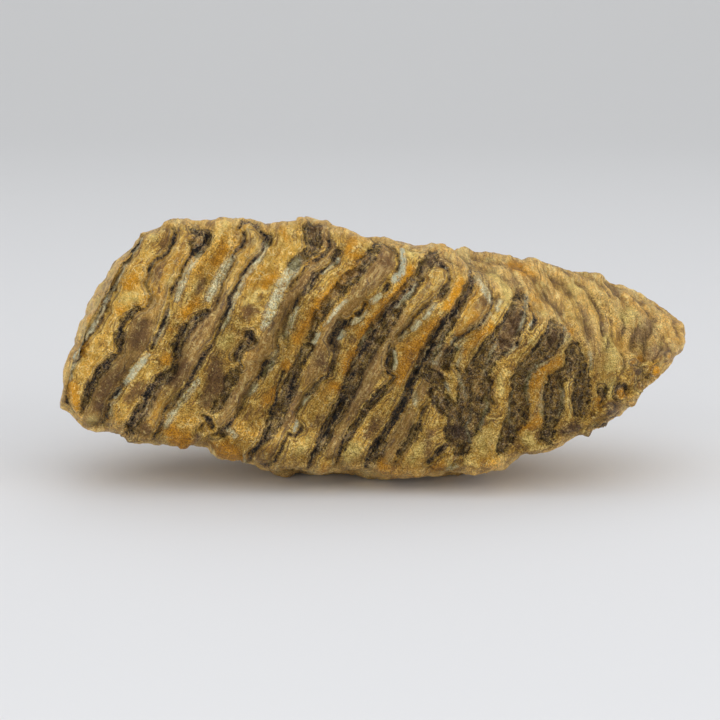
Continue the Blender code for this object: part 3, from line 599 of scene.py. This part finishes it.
relief = {
    "lineDepth": 0.00055,  # a thin black line
    "pocketDepth": 0.00110,  # added in the widest pockets
    "pocketWidths": (1.6, 5.5),  # half widths between which a line grows into a pocket
    "speckleDepth": 0.00070,
    "pillowDepth": 0.00085,  # the cement bulges this much between the lines
    "pillowReach": 9.0,
    "enamelHeight": 0.00055,
    "dentineDepth": 0.00030,
    "lipHeight": 0.00100,
    "seamDepth": 0.00075,
    "wander": ((0.0042, 1.5), (0.0017, 1.3)),  # how the strokes waver: size in metres, amount in squares
    "bump": ((0.0046, 0.00026), (0.0024, 0.00020), (0.0013, 0.00012)),  # size and height of the small lumps
    "crustDepth": 0.00125,  # the speckled bands are eaten away by this much
    "crustSize": 0.0034,
    "crustLevel": 0.25,  # the middle height of the crumbly pattern
    "knobShare": 0.70,  # height of a knob in its own radii
    "knobFoot": 1.5,  # a knob's dome is this much wider than its mark
    "swells": (  # x, y, reach, and height or depth: the blunt right end and dents along the outline
        (684, 334, 0.019, 0.0006), (676, 320, 0.012, 0.0024), (664, 368, 0.012, 0.0012),
        (446, 250, 0.010, 0.0022), (176, 443, 0.007, 0.0016), (76, 356, 0.008, -0.0022),
        (98, 290, 0.014, -0.0014), (208, 447, 0.007, -0.0022), (128, 439, 0.007, 0.0014),
    ),
    "ribShare": (0.20, 0.75),  # the ribs come and go between these shares of their height
    "ribPatches": 0.017,  # size of the parts where they do
    "ribLoss": 0.65,  # this much of them goes where the strokes are drawn
    "smoothLumps": 0.40,  # share of the small lumps on enamel and dentine
    "faceTurn": (0.55, 0.90),  # part of the normal that points forwards, where the worn face begins and is full
    "endTurn": (0.75, 0.95),  # the same sideways, for the two ends
    "rootTurn": (0.30, 0.80),  # and backwards, for the root side
    "hollowSteps": 14,  # how much the heights are smoothed to tell hollows from peaks
}


def blurredRings(values, steps):  # the same values smoothed over the neighbouring points
    around = skinMesh["pointsRound"]
    grid = values[:-2].reshape(-1, around)
    for _ in range(steps):
        grid = (np.roll(grid, 1, 1) + np.roll(grid, -1, 1) + 2.0 * grid) / 4.0
        padded = np.pad(grid, ((1, 1), (0, 0)), mode="edge")
        grid = (padded[:-2] + padded[2:] + 2.0 * grid) / 4.0
    return np.concatenate((grid.ravel(), (grid[0].mean(), grid[-1].mean())))


def shapeTooth():
    shape = toothShape
    mesh, points, places = toothSkin()
    normals = meshNormals(mesh)
    laid = layDown(points)
    eye = cameraFrame()[0] - laid
    facing = np.einsum("ij,ij->i", leanBack(normals), eye) / np.linalg.norm(eye, axis=1)
    seen = fade(facing, paint["seenFrom"], paint["seenFull"])
    onFace = fade(-normals[:, 1], *relief["faceTurn"])
    onEnd = fade(np.abs(normals[:, 0]), *relief["endTurn"])
    onRoot = fade(normals[:, 1], *relief["rootTurn"])

    wander = list(enumerate(relief["wander"]))
    x, y = framePlaces(laid)
    x = x + sum(amount * smoothNoise(laid + 0.1 * k, size) for k, (size, amount) in wander)
    y = y + sum(amount * smoothNoise(laid - 0.1 * (k + 1), size) for k, (size, amount) in wander)
    marks = {name: mix(paint["reach"], strokeDistance(x, y, strokes), seen) for name, strokes in drawnMarks.items()}
    marks["nodule"], marks["knobTone"], knobs = knobMarks(laid, x, y, facing)

    ribs = mix(*shape["ribHeights"], fade(places, *shape["ribChange"])) * (1.0 - onEnd)
    patches = ease(0.5 + 1.3 * smoothNoise(laid + 0.5, relief["ribPatches"]))
    ribs *= np.cos(math.pi * (places - 1.5)) * mix(*relief["ribShare"], patches)
    ribs *= 1.0 - relief["ribLoss"] * seen
    lumps = sum(2.0 * height * smoothNoise(points, size) for size, height in shape["lumps"])
    lumps *= mix(mix(1.0, shape["rootLumps"], onRoot), shape["faceLumps"], onFace)
    small = sum(2.0 * height * smoothNoise(laid + 0.3, size) for size, height in relief["bump"])

    swell = sum(
        high * ease(1.0 - distanceFrom(spot, laid, x, y, facing) / reach) for *spot, reach, high in relief["swells"]
    )
    crust = np.abs(smoothNoise(laid + 0.7, relief["crustSize"]))
    crust += 0.5 * np.abs(smoothNoise(laid + 0.9, relief["crustSize"] / 2.0))

    inside = {name: ease(0.5 - value / paint["edge"]) for name, value in marks.items()}
    inside["blackLine"] = ease(0.5 - (marks["blackLine"] + 0.5) / 2.0)  # narrower and sharper
    cleared = 1.0 - inside["blackLine"]
    nearLine = np.minimum(np.minimum(marks["blackLine"], marks["speckled"] + 1.0), marks["seamAndShade"])
    drawn = relief["pillowDepth"] * (fade(nearLine, 0.0, relief["pillowReach"]) - 1.0)
    drawn -= relief["lineDepth"] * inside["blackLine"]
    drawn -= relief["pocketDepth"] * fade(-marks["blackLine"], *relief["pocketWidths"])
    drawn -= relief["speckleDepth"] * inside["speckled"] * cleared
    drawn += relief["enamelHeight"] * inside["enamel"] * cleared
    drawn -= relief["dentineDepth"] * inside["dentine"] * (1.0 - inside["enamel"]) * (1.0 - inside["speckled"])
    drawn -= relief["crustDepth"] * (crust - relief["crustLevel"]) * inside["speckled"]
    drawn += relief["lipHeight"] * inside["lip"]
    drawn -= relief["seamDepth"] * inside["seamAndShade"]
    smoothness = np.maximum(inside["dentine"] * (1.0 - inside["speckled"]), inside["enamel"]) * seen
    small *= mix(1.0, relief["smoothLumps"], smoothness)

    height = mix(ribs, 0.0, onFace) + lumps + drawn + small + swell + knobs
    moved = layDown(points + normals * height[:, None])
    mesh.vertices.foreach_set("co", moved.astype(np.float32).ravel())
    mesh.update()
    hollow = (blurredRings(height, relief["hollowSteps"]) - height) * 1000.0
    marks.update(place=places, onFace=onFace, smoothness=smoothness, ribs=ribs * 1000.0, hollow=hollow)
    for name, values in marks.items():
        attribute = mesh.attributes.new(name, "FLOAT", "POINT")
        attribute.data.foreach_set("value", values.astype(np.float32))
    return mesh


# materials and nodes


def newMaterial(name):
    material = bpy.data.materials.new(name)
    material.use_nodes = True
    return material, material.node_tree, material.node_tree.nodes["Principled BSDF"]


def put(tree, kind, inputs=None, **settings):  # one node, its inputs linked or set
    node = tree.nodes.new(kind)
    for name, value in settings.items():
        setattr(node, name, value)
    for name, value in (inputs or {}).items():
        if isinstance(value, bpy.types.NodeSocket):
            tree.links.new(value, node.inputs[name])
        else:
            node.inputs[name].default_value = value
    return node


def calc(tree, operation, *values):
    return put(tree, "ShaderNodeMath", dict(enumerate(values)), operation=operation).outputs[0]


def fold(tree, operation, first, *others):  # the same calculation over any number of values
    return calc(tree, operation, first, fold(tree, operation, *others)) if others else first


def remap(tree, value, low, high, outLow=0.0, outHigh=1.0):
    values = {"Value": value, "From Min": low, "From Max": high, "To Min": outLow, "To Max": outHigh}
    return put(tree, "ShaderNodeMapRange", values, interpolation_type="SMOOTHSTEP").outputs["Result"]


def shade(*rgb):  # 0 to 255 as seen on a screen, to the linear values that Blender works in
    return tuple(c / 12.92 / 255 if c <= 10 else ((c / 255 + 0.055) / 1.055) ** 2.4 for c in rgb) + (1.0,)


def tint(tree, factor, a, b, mode="MIX"):
    node = put(tree, "ShaderNodeMix", data_type="RGBA", blend_type=mode)
    for socket, value in zip((node.inputs[0], node.inputs[6], node.inputs[7]), (factor, a, b)):
        if isinstance(value, bpy.types.NodeSocket):
            tree.links.new(value, socket)
        else:
            socket.default_value = value
    return node.outputs[2]


def mark(tree, name):
    return put(tree, "ShaderNodeAttribute", attribute_name=name).outputs["Fac"]


def grainNoise(tree, where, scale, detail=2.0, roughness=0.5, distortion=0.0):
    values = {"Vector": where, "Scale": scale, "Detail": detail, "Roughness": roughness, "Distortion": distortion}
    return put(tree, "ShaderNodeTexNoise", values).outputs["Fac"]


# the fine grain of the surface, as geometry

surfaceGrain = {
    "Crust Height": 0.00034,
    "Crust Size": 0.0021,
    "Grain Height": 0.00024,
    "Grain Size": 0.0010,
    "Smooth Share": 0.35,  # how much of it the enamel and dentine keep
    "Seed": 4.0,
}


def grainTree():
    tree = bpy.data.node_groups.new("surface_grain", "GeometryNodeTree")
    face = tree.interface
    face.new_socket("Geometry", in_out="INPUT", socket_type="NodeSocketGeometry")
    sockets = {}
    for name in surfaceGrain:
        sockets[name] = face.new_socket(name, in_out="INPUT", socket_type="NodeSocketFloat")
    sockets["Finish"] = face.new_socket("Finish", in_out="INPUT", socket_type="NodeSocketMaterial")
    face.new_socket("Geometry", in_out="OUTPUT", socket_type="NodeSocketGeometry")
    given = tree.nodes.new("NodeGroupInput").outputs
    position = put(tree, "GeometryNodeInputPosition").outputs[0]
    heights = []
    for kind in ("Crust", "Grain"):
        scale = calc(tree, "DIVIDE", 1.0, given[kind + " Size"])
        values = {"Vector": position, "W": given["Seed"], "Scale": scale, "Detail": 2.0, "Roughness": 0.55}
        pattern = put(tree, "ShaderNodeTexNoise", values, noise_dimensions="4D").outputs["Fac"]
        heights.append(calc(tree, "MULTIPLY", calc(tree, "SUBTRACT", pattern, 0.5), given[kind + " Height"]))
    height = calc(tree, "ADD", *heights)
    smooth = put(tree, "GeometryNodeInputNamedAttribute", {"Name": "smoothness"}, data_type="FLOAT").outputs[0]
    share = calc(tree, "ADD", 1.0, calc(tree, "MULTIPLY", smooth, calc(tree, "SUBTRACT", given["Smooth Share"], 1.0)))
    height = calc(tree, "MULTIPLY", calc(tree, "MULTIPLY", height, 2.0), share)
    normal = put(tree, "GeometryNodeInputNormal").outputs[0]
    offset = put(tree, "ShaderNodeVectorMath", {0: normal}, operation="SCALE")
    tree.links.new(height, offset.inputs["Scale"])
    values = {"Geometry": given["Geometry"], "Name": "grain"}
    noted = put(tree, "GeometryNodeStoreNamedAttribute", values, data_type="FLOAT")
    tree.links.new(calc(tree, "MULTIPLY", height, 1000.0), noted.inputs["Value"])
    moved = put(tree, "GeometryNodeSetPosition", {"Geometry": noted.outputs[0], "Offset": offset.outputs[0]})
    real = put(tree, "GeometryNodeRealizeInstances", {"Geometry": moved.outputs[0]})
    made = put(tree, "GeometryNodeSetMaterial", {"Geometry": real.outputs[0], "Material": given["Finish"]})
    tree.links.new(made.outputs[0], tree.nodes.new("NodeGroupOutput").inputs[0])
    return tree, {name: socket.identifier for name, socket in sockets.items()}


def grained(mesh, material):  # the skin with its fine grain, as a plain mesh
    tree, identifiers = grainTree()
    rough = placed("tooth_rough", mesh)
    modifier = rough.modifiers.new("surface_grain", "NODES")
    modifier.node_group = tree
    for name, value in surfaceGrain.items():
        modifier[identifiers[name]] = value
    modifier[identifiers["Finish"]] = material
    graph = bpy.context.evaluated_depsgraph_get()
    plain = bpy.data.meshes.new_from_object(rough.evaluated_get(graph), depsgraph=graph)
    bpy.data.objects.remove(rough)
    heights = np.empty(len(plain.vertices) * 3, np.float32)
    plain.vertices.foreach_get("co", heights)
    heights = heights.reshape(-1, 3)
    heights[:, 2] = np.maximum(heights[:, 2], 0.0)
    plain.vertices.foreach_set("co", heights.ravel())
    plain.update()
    plain.shade_smooth()
    return plain


# the varnished fossil's finish

fossilColours = {
    "cement": (206, 161, 68),
    "cementDeep": (152, 108, 46),
    "cementLight": (242, 212, 128),
    "cream": (236, 208, 138),
    "dentine": (166, 128, 74),
    "dentineLine": (114, 82, 42),
    "dentineLight": (196, 166, 108),
    "enamel": (228, 222, 180),
    "enamelBlue": (190, 192, 164),
    "black": (30, 27, 27),
    "slate": (97, 85, 76),
    "speckle": (138, 110, 76),
    "speckleLight": (206, 196, 170),
    "orange": (208, 142, 14),
    "paleYellow": (240, 214, 126),
    "brown": (112, 79, 44),
    "mauve": (128, 100, 72),
    "plum": (74, 52, 50),
    "sideGold": (218, 173, 92),
    "sideBrown": (162, 124, 68),
}

fossilSurface = {
    "ragged": 1.0,  # how crumbly the edges of the marks are
    "crumbScale": 1050.0,
    "crackScale": 330.0,
    "bendScale": 380.0,  # the cracks are bent by a noise
    "bend": 0.0026,
    "bumpHeight": 0.0011,
    "bumpStrength": 0.95,
    "coat": 0.4,
    "coatRoughness": 0.11,
    "underCoat": 0.15,  # specular level below the varnish
}

fossilTextures = {  # scale, detail, roughness, distortion
    "broad": (75.0, 3.0),
    "middle": (300.0, 3.0, 0.6, 0.6),
    "fine": (900.0, 3.0, 0.65, 0.8),
    "grain": (2400.0, 2.0, 0.6),
    "marble": (430.0, 4.0, 0.7, 2.6),
    "veins": (190.0, 3.0, 0.6, 1.8),
    "flow": (1.0, 4.0, 0.68, 0.5),  # from here on they run in lines
    "streaks": (1.7, 4.0, 0.65),
    "layers": (0.55, 3.0, 0.6),
    "lines": (0.46, 3.0, 0.65),
    "edging": (0.42, 2.0, 0.6),
}


def fossilFinish():
    surface = fossilSurface
    colours = {name: shade(*rgb) for name, rgb in fossilColours.items()}
    material, tree, shader = newMaterial("varnished_fossil")
    where = put(tree, "ShaderNodeTexCoord").outputs["Object"]
    add, span, marked = partial(fold, tree, "ADD"), partial(remap, tree), partial(mark, tree)

    def times(*masks):  # a mask is a value, or a value and the range over which it grows
        return fold(tree, "MULTIPLY", *(span(*mask) if isinstance(mask, tuple) else mask for mask in masks))

    def painted(base, *coats):  # each coat is a colour, then the masks that say where it lies
        for coat, *masks in coats:
            under, over = (colours[value] if isinstance(value, str) else value for value in (base, coat))
            base = tint(tree, times(*masks), under, over)
        return base

    def texture(name, at=where):
        return grainNoise(tree, at, *fossilTextures[name])

    def striped(name, *place):  # a texture in a space of its own, so that it runs in lines
        return texture(name, put(tree, "ShaderNodeCombineXYZ", dict(zip("XYZ", place))).outputs[0])

    def centred(value, amount):
        return times(calc(tree, "SUBTRACT", value, 0.5), amount)

    def within(distance, soft):
        return span(distance, soft, -soft)

    def beside(distance, low, high):  # a thin line that follows a mark
        away = calc(tree, "ABSOLUTE", calc(tree, "SUBTRACT", distance, (low + high) / 2.0))
        return span(away, (high - low) / 2.0, (high - low) / 5.0)

    broad, middle, fine, grain, marble, veins = map(texture, ("broad", "middle", "fine", "grain", "marble", "veins"))
    cells = put(tree, "ShaderNodeTexVoronoi", {"Vector": where, "Scale": surface["crumbScale"]})
    crumbs = cells.outputs["Distance"]
    crumbPick = put(tree, "ShaderNodeSeparateColor", {0: cells.outputs["Color"]}).outputs[0]
    bend = put(tree, "ShaderNodeTexNoise", {"Vector": where, "Scale": surface["bendScale"]}).outputs["Color"]
    bend = put(tree, "ShaderNodeVectorMath", {0: bend, "Scale": surface["bend"]}, operation="SCALE").outputs[0]
    bent = put(tree, "ShaderNodeVectorMath", {0: where, 1: bend}, operation="ADD").outputs[0]
    values = {"Vector": bent, "Scale": surface["crackScale"]}
    cracks = put(tree, "ShaderNodeTexVoronoi", values, feature="DISTANCE_TO_EDGE").outputs["Distance"]
    axes = put(tree, "ShaderNodeSeparateXYZ", {0: where}).outputs
    place, onFace, hollow, paintedDim = map(marked, ("place", "onFace", "hollow", "paintedDim"))
    across = add(times(place, 7.5), times(middle, 2.2))
    flow = striped("flow", across, times(axes["Z"], 170.0), times(axes["Y"], 170.0))
    wobble = add(centred(middle, 5.0), centred(fine, 7.0), centred(grain, 2.0))

    def ragged(name, wander):  # distance to a mark, with a crumbly edge
        return add(marked(name), times(wobble, wander * surface["ragged"]))

    def stain(name, wander, soft):
        return within(ragged(name, wander), soft)

    black, speckled, enamel, dentine, remains = (ragged(*pair) for pair in (
        ("blackLine", 0.48), ("speckled", 1.5), ("enamel", 0.70), ("dentine", 0.80), ("faint", 0.8),
    ))

    # sides: ribs of cement with streaks of their own colour; the rib height adds cream on their backs and brown
    # between them, as painted light and shade
    streaks = striped("streaks", add(times(place, 2.6), times(middle, 1.2)), times(broad, 3.0))
    sideTone = add(times(marked("ribs"), 0.16), streaks, centred(middle, 0.6))
    side = painted(
        "sideBrown",
        ("sideGold", (sideTone, 0.28, 0.50)),
        ("cream", (sideTone, 0.44, 0.76)),
        ("orange", (broad, 0.50, 0.66), 0.4),
        ("mauve", (flow, 0.46, 0.38), 0.5),
        ("paleYellow", (middle, 0.52, 0.62), (flow, 0.44, 0.52), 0.3),
        ("cream", (flow, 0.57, 0.64), 0.6),
    )

    # worn face: granular golden cement, with thin layers along the edges of the plates
    layers = striped("layers", add(marked("blackLine"), times(middle, 3.0)), times(broad, 14.0))
    mixed = add(times(middle, 0.45), times(flow, 0.55))
    face = painted(
        "cementDeep",
        ("cement", (mixed, 0.34, 0.52)),
        ("cementLight", (mixed, 0.52, 0.66), 0.8),
        ("brown", (layers, 0.44, 0.39), 0.6),
        ("cementLight", (layers, 0.57, 0.63), 0.6),
        ("cementLight", (fine, 0.54, 0.64), 0.5),
        ("brown", (crumbs, 0.34, 0.18), (crumbPick, 0.58, 0.66), 0.75),
        ("orange", (broad, 0.52, 0.64), 0.35),
        ("brown", (cracks, 0.06, 0.015), (broad, 0.48, 0.42), (veins, 0.44, 0.54), 0.75),
        ("cream", (cracks, 0.05, 0.012), (broad, 0.50, 0.56), (veins, 0.52, 0.44), 0.7),
        ("brown", (flow, 0.42, 0.36), (middle, 0.56, 0.44), 0.6),
    )

    # what lies in it: lined dentine, speckled bands, remains of enamel, and the black lines with their fringe
    orange, pale = stain("orange", 1.3, 4.0), stain("pale", 1.3, 3.6)
    lines = striped("lines", add(marked("dentine"), times(middle, 2.6)), times(broad, 9.0))
    lined = painted(
        "dentineLine",
        ("dentine", (lines, 0.38, 0.54)),
        ("dentineLight", (lines, 0.55, 0.62), 0.8),
        ("dentineLight", (flow, 0.55, 0.62), 0.6),
        ("slate", (flow, 0.44, 0.38), 0.6),
        ("brown", (fine, 0.42, 0.30), 0.6),
        ("orange", orange, 0.6),
        ("paleYellow", pale, 0.5),
    )
    edging = striped("edging", add(marked("speckled"), centred(middle, 4.0)), times(broad, 16.0))
    dark = painted(
        "slate",
        ("speckle", (veins, 0.44, 0.56)),
        ("cementDeep", (marble, 0.55, 0.62), 0.85),
        ("dentineLight", (flow, 0.54, 0.60), 0.75),
        ("black", (flow, 0.46, 0.40), 0.65),
        ("black", (marble, 0.46, 0.40), 0.5),
        ("dentineLight", (edging, 0.54, 0.60), (fine, 0.36, 0.48), 0.85),
        ("black", (edging, 0.45, 0.39), 0.85),
        # painted shade and light: black in the hollows of the dark bands, dentine colour on their peaks
        ("dentine", (hollow, 0.02, -0.30), 0.7),
        ("black", (hollow, 0.12, 0.45), 0.5),
        ("dentineLight", beside(speckled, -4.2, -2.2), (fine, 0.44, 0.56), 0.7),
        ("black", beside(speckled, -1.8, 0.4), (middle, 0.42, 0.54), 0.8),
        ("speckleLight", (grain, 0.57, 0.66), 0.35),
        ("black", (grain, 0.43, 0.35), 0.4),
    )
    mottled = painted(
        "enamelBlue",
        ("enamel", (marble, 0.44, 0.56)),
        ("dentineLight", (flow, 0.46, 0.38), 0.7),
        ("slate", (fine, 0.44, 0.34), 0.5),
    )
    pearl = painted(
        "enamelBlue",
        ("enamel", (broad, 0.42, 0.58)),
        ("dentine", (marble, 0.50, 0.38), 0.70),
        ("slate", (fine, 0.38, 0.28), 0.8),
    )
    fringe = painted(
        "slate",
        ("speckle", (marble, 0.40, 0.56)),
        ("dentineLight", (flow, 0.54, 0.60), 0.8),
        ("enamelBlue", (crumbs, 0.34, 0.14), (marble, 0.44, 0.56), 0.85),
    )
    gaps = span(times(add(marble, flow), 0.5), 0.43, 0.58, 0.3, 4.4)
    core = within(add(calc(tree, "MAXIMUM", black, -2.4), gaps), 0.7)
    knobColour = painted("slate", ("orange", marked("knobTone")))
    colour = painted(
        side,
        (face, onFace),
        ("mauve", stain("mauve", 1.2, 4.0), 0.60),
        ("orange", orange, (fine, 0.36, 0.56, 0.6, 0.95)),
        ("paleYellow", pale, (fine, 0.38, 0.58, 0.35, 1.0), 0.80),
        (lined, within(dentine, 1.2), (broad, 0.35, 0.55, 0.95, 0.65)),
        (face, stain("golden", 1.6, 4.0), (flow, 0.36, 0.52, 0.35, 0.85)),
        ("brown", stain("brown", 1.2, 5.0), 0.62),
        ("slate", beside(dentine, -0.2, 1.3), (fine, 0.38, 0.54), 0.5),
        (dark, within(speckled, 1.2), (marble, 0.50, 0.60, 0.94, 0.40), (veins, 0.34, 0.50, 0.70, 1.0)),
        ("brown", stain("brown", 1.2, 3.0), (marble, 0.60, 0.48, 0.10, 0.60)),
        ("plum", stain("mauve", 1.2, 3.0), onFace, 0.55),
        ("orange", orange, (fine, 0.36, 0.56, 0.10, 0.30)),
        ("slate", beside(remains, 0.2, 1.8), (middle, 0.44, 0.54), 0.5),
        (mottled, within(remains, 1.8), (marble, 0.40, 0.52, 0.15, 0.85)),
        ("slate", beside(enamel, 0.2, 1.6), (fine, 0.44, 0.58), 0.6),
        (pearl, within(enamel, 1.1), (marble, 0.32, 0.46, 0.45, 0.90)),
        # painted shade: mauve along the seams, beside the ridges
        ("mauve", stain("seamAndShade", 0.8, 1.2), (fine, 0.30, 0.50), 0.75),
        # painted shade: a dark ring round the foot of each knob
        ("slate", beside(ragged("nodule", 0.8), -0.2, 3.0), 0.5),
        ("dentineLight", beside(black, 1.4, 3.0), (broad, 0.44, 0.54), 0.6),
        ("slate", beside(black, 2.8, 4.0), (middle, 0.46, 0.56), 0.6),
        (fringe, within(add(black, 0.4), 0.9), (middle, 0.34, 0.50, 0.50, 0.95)),
        ("black", core, 0.92),
        ("speckle", core, (crumbs, 0.40, 0.22), (crumbPick, 0.76, 0.82), 0.7),
        (knobColour, within(add(ragged("nodule", 0.5), 0.8), 1.2), 0.8),
        ("cream", (hollow, 0.05, -0.30), (fine, 0.55, 0.66), 0.55),  # painted highlight: cream on the peaks
    )

    # painted shade and light: the hollows and grain pits are painted darker, the peaks a little lighter
    depth, deepest = add(hollow, times(marked("grain"), -0.9)), span(onFace, 0.0, 1.0, 0.74, 0.54)
    values = {"Value": depth, "From Min": 0.60, "From Max": -0.30, "To Min": deepest, "To Max": 1.12}
    tone = put(tree, "ShaderNodeMapRange", values).outputs["Result"]
    sandy = times((grain, 0.34, 0.66, -0.38, 0.40), (paintedDim, 15.0, 2.0, 0.40, 1.0))
    sandy = times(sandy, (marked("smoothness"), 0.0, 1.0, 1.0, 0.5))
    tone = times(tone, add(sandy, 1.0))
    tone = times(tone, (crumbPick, 0.0, 1.0, 0.88, 1.12))
    # painted light: the face is lighter away from the dim zones and darker in them
    tone = times(tone, (paintedDim, 12.0, -14.0, 1.09, 0.62))
    shadeOff = calc(tree, "MINIMUM", tone, 1.0)  # darker parts are also warmer
    green, blue = (times(tone, (shadeOff, 0.0, 1.0, least, 1.0)) for least in (0.86, 0.36))
    grey = put(tree, "ShaderNodeCombineColor", {0: tone, 1: green, 2: blue}).outputs[0]
    colour = tint(tree, 1.0, colour, grey, "MULTIPLY")

    height = add(centred(fine, 0.9), centred(grain, 0.8), centred(layers, 0.5), centred(flow, 1.0))
    height = add(height, times(within(speckled, 1.2), centred(marble, 1.6)))
    height = calc(tree, "SUBTRACT", height, times(within(black, 1.0), 0.35))
    values = {"Height": height, "Strength": surface["bumpStrength"], "Distance": surface["bumpHeight"]}
    bump = put(tree, "ShaderNodeBump", values).outputs["Normal"]
    roughness = span(middle, 0.35, 0.65, 0.30, 0.55)
    for name, value in (("Base Color", colour), ("Roughness", roughness), ("Normal", bump), ("Coat Normal", bump)):
        tree.links.new(value, shader.inputs[name])
    shader.inputs["Coat Weight"].default_value = surface["coat"]
    shader.inputs["Coat Roughness"].default_value = surface["coatRoughness"]
    shader.inputs["Specular IOR Level"].default_value = surface["underCoat"]
    return material


# floor and light

studio = {
    "floorColour": (228, 228, 228),
    "farShade": (209, 209, 208),  # painted shade: the paper is painted darker towards the back
    "darkensOver": (0.05, 1.10),
    "cloudColour": (205, 206, 212),
    "cloudShare": 0.06,
    "roughness": 0.9,
    "halfWidth": 2.2,
    "flatPlaces": (-1.6, -0.4, 0.2),  # where the flat part begins and is divided
    "bendFrom": 0.75,  # where the sweep starts to rise
    "bendRadius": 0.9,
    "bendSteps": 25,
    "wallHeight": 1.6,
    "worldColour": (0.93, 0.95, 1.0, 1.0),
    "worldStrength": 0.57,
}


def addFloor():
    bend, radius = studio["bendFrom"], studio["bendRadius"]
    angles = np.linspace(0.0, math.pi / 2, studio["bendSteps"])[1:]
    profile = [(y, 0.0) for y in (*studio["flatPlaces"], bend)]
    profile += [(bend + radius * math.sin(a), radius * (1.0 - math.cos(a))) for a in angles]
    profile.append((bend + radius, radius + studio["wallHeight"]))
    half = studio["halfWidth"]
    points = [(x, y, z) for y, z in profile for x in (-half, half)]
    faces = [(2 * i, 2 * i + 1, 2 * i + 3, 2 * i + 2) for i in range(len(profile) - 1)]
    mesh = bpy.data.meshes.new("floor")
    mesh.from_pydata(points, [], faces)
    mesh.update()
    mesh.shade_smooth()
    material, tree, shader = newMaterial("pale_paper")
    where = put(tree, "ShaderNodeTexCoord").outputs["Object"]
    cloud = grainNoise(tree, where, 3.0, 2.0)
    tone = shade(*studio["floorColour"])
    soft = remap(tree, cloud, 0.3, 0.7, 0.0, studio["cloudShare"])
    soft = tint(tree, soft, tone, shade(*studio["cloudColour"]))
    away = put(tree, "ShaderNodeSeparateXYZ", {0: where}).outputs["Y"]
    # painted shade: the paper darkens towards the back
    soft = tint(tree, remap(tree, away, *studio["darkensOver"]), soft, shade(*studio["farShade"]))
    tree.links.new(soft, shader.inputs["Base Color"])
    shader.inputs["Roughness"].default_value = studio["roughness"]
    mesh.materials.append(material)
    floor = placed("floor", mesh)


softLights = (  # name, place, aim, width, height, watts
    ("overhead", (0.08, 0.02, 1.25), (0.0, -0.06, 0.03), 2.9, 2.3, 10.8),
    ("front_left", (-0.75, -1.15, 0.52), (0.0, 0.0, 0.04), 1.1, 1.0, 5.9),
    ("front_right", (1.05, -0.95, 0.52), (0.0, 0.0, 0.04), 1.1, 1.0, 7.5),
)


def addLights():
    for name, place, aim, width, height, watts in softLights:
        data = bpy.data.lights.new(name, "AREA")
        data.shape = "RECTANGLE"
        data.size, data.size_y, data.energy = width, height, watts
        light = placed(name, data)
        light.location = place
        light.rotation_euler = (Vector(aim) - Vector(place)).to_track_quat("-Z", "Y").to_euler()
    world = bpy.data.worlds.new("studio")
    world.use_nodes = True
    background = world.node_tree.nodes["Background"]
    background.inputs["Color"].default_value = studio["worldColour"]
    background.inputs["Strength"].default_value = studio["worldStrength"]
    bpy.context.scene.world = world
    bpy.context.scene.view_settings.view_transform = "Standard"


# putting it together

addCamera()
addLights()
addFloor()
print("camera, lights and floor are in place")
skin = shapeTooth()
print("skin shaped:", len(skin.vertices), "points")
toothMesh = grained(skin, fossilFinish())
tooth = placed("fossil_tooth", toothMesh)
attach(tooth, "root")
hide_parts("tooth")
print("tooth dressed")
